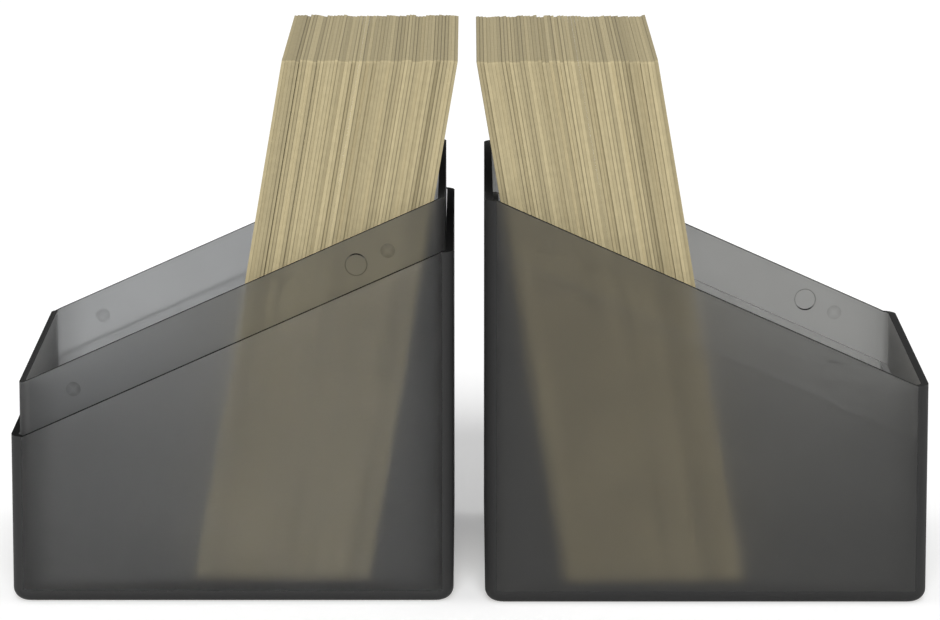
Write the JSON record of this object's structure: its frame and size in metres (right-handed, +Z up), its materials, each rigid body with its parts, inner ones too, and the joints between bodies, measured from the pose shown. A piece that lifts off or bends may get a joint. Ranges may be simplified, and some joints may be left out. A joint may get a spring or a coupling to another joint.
{
  "type": "slant-split card deck box",
  "caption": "Two-part slant-split deck box in smoked frosted plastic; base with raised collar and matching lid stand open, each holding a leaning deck of cards.",
  "frame": {"origin": "on the table, midway between the two open halves and midway across their width", "axes": "+X from the base half to the lid half, +Y along the width of a card, +Z up"},
  "size_m": [0.1574, 0.076, 0.0936],
  "materials": {
    "smoke_shell": "frosted, smoked translucent polypropylene",
    "smoke_liner": "frosted, smoked translucent polypropylene, thinner wall",
    "card_stock": "matt card edges"
  },
  "bodies": {
    "base": {"base_outer_shell": "smoke_shell", "base_inner_liner": "smoke_liner"},
    "lid": {"lid_outer_shell": "smoke_shell", "lid_inner_liner": "smoke_liner"},
    "base_deck": {"base_card_packet_02": "card_stock", "base_card_packet_03": "card_stock", "base_card_packet_04": "card_stock", "base_card_packet_05": "card_stock", "base_card_packet_06": "card_stock", "base_card_packet_07": "card_stock", "base_card_packet_08": "card_stock", "base_card_packet_09": "card_stock", "base_card_packet_10": "card_stock"},
    "base_front_cards": {"base_card_packet_01": "card_stock"},
    "lid_deck": {"lid_card_packet_02": "card_stock", "lid_card_packet_03": "card_stock", "lid_card_packet_04": "card_stock", "lid_card_packet_05": "card_stock", "lid_card_packet_06": "card_stock", "lid_card_packet_07": "card_stock", "lid_card_packet_08": "card_stock", "lid_card_packet_09": "card_stock", "lid_card_packet_10": "card_stock"},
    "lid_front_cards": {"lid_card_packet_01": "card_stock"}
  },
  "joints": [
    {"name": "lid_lift", "type": "slide", "parent": "base", "child": "lid", "axis": [0, 0, 1], "range_m": [0, 0.12]},
    {"name": "base_deck_lift", "type": "slide", "parent": "base", "child": "base_deck", "axis": [0, 0, 1], "range_m": [0, 0.1]},
    {"name": "base_front_cards_flip", "type": "hinge", "parent": "base_deck", "child": "base_front_cards", "pos_m": [-0.04735, 0, 0.00275], "axis": [0, -1, 0], "range_deg": [0, 46.5]},
    {"name": "lid_deck_lift", "type": "slide", "parent": "lid", "child": "lid_deck", "axis": [0, 0, 1], "range_m": [0, 0.1]},
    {"name": "lid_front_cards_flip", "type": "hinge", "parent": "lid_deck", "child": "lid_front_cards", "pos_m": [0.04754, 0, 0.00275], "axis": [0, 1, 0], "range_deg": [0, 48.8]}
  ]
}
